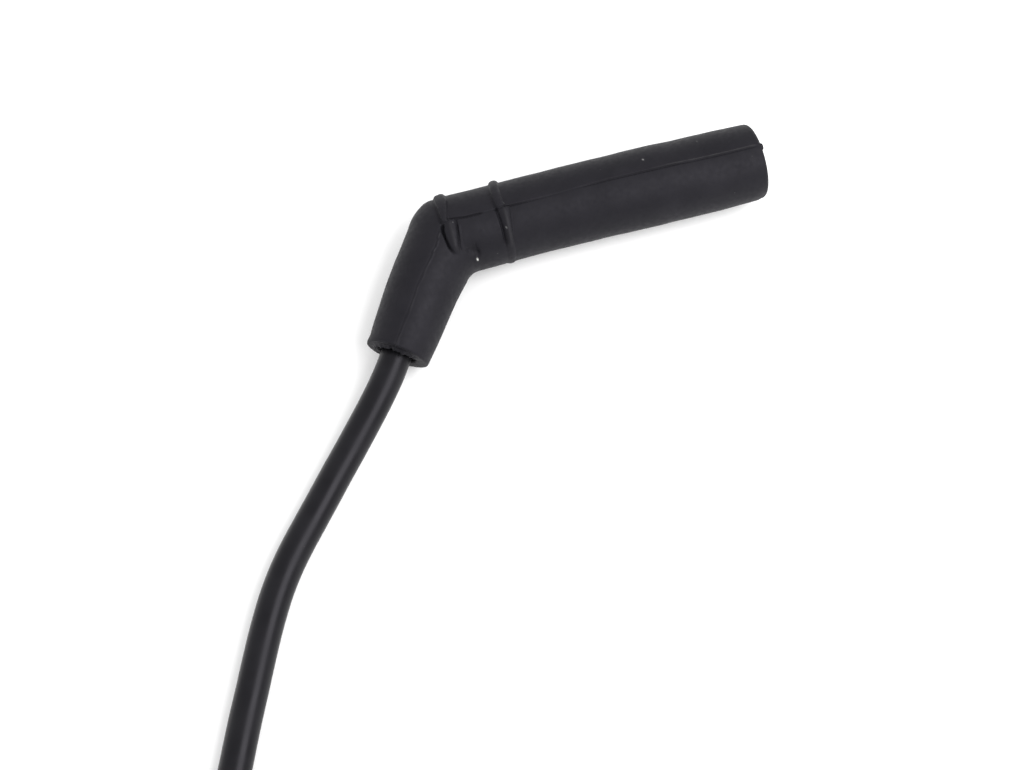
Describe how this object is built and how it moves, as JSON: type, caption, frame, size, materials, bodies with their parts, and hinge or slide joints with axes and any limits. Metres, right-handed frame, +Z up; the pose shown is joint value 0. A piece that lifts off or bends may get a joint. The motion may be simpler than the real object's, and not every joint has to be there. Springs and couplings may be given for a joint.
{
  "type": "spark plug wire",
  "caption": "Ignition lead with a moulded elbow boot and its terminal on one end, its spare length in a tied coil, and a straight boot on the other end.",
  "frame": {"origin": "on the floor, under the middle of the elbow boot's box", "axes": "+X along the plug arm towards its mouth, +Z up from the floor that the wire lies on"},
  "size_m": [0.1713, 0.2207, 0.02],
  "materials": {
    "boot_rubber": "matte moulded rubber",
    "lead_jacket": "satin extruded rubber",
    "plated_steel": "zinc plated sheet",
    "spring_wire": "bright spring wire",
    "conductor_core": "matt carbon core",
    "tie_nylon": "satin moulded nylon"
  },
  "bodies": {
    "root": {"plug_boot": "boot_rubber", "plug_terminal": "plated_steel", "plug_terminal_clip": "spring_wire", "plug_core_end": "conductor_core", "lead": "lead_jacket", "lead_coil": "lead_jacket", "lead_tail": "lead_jacket", "coil_tie_1": "tie_nylon", "coil_tie_2": "tie_nylon", "cap_boot": "boot_rubber", "cap_terminal": "plated_steel", "cap_terminal_clip": "spring_wire", "cap_core_end": "conductor_core"}
  },
  "joints": []
}
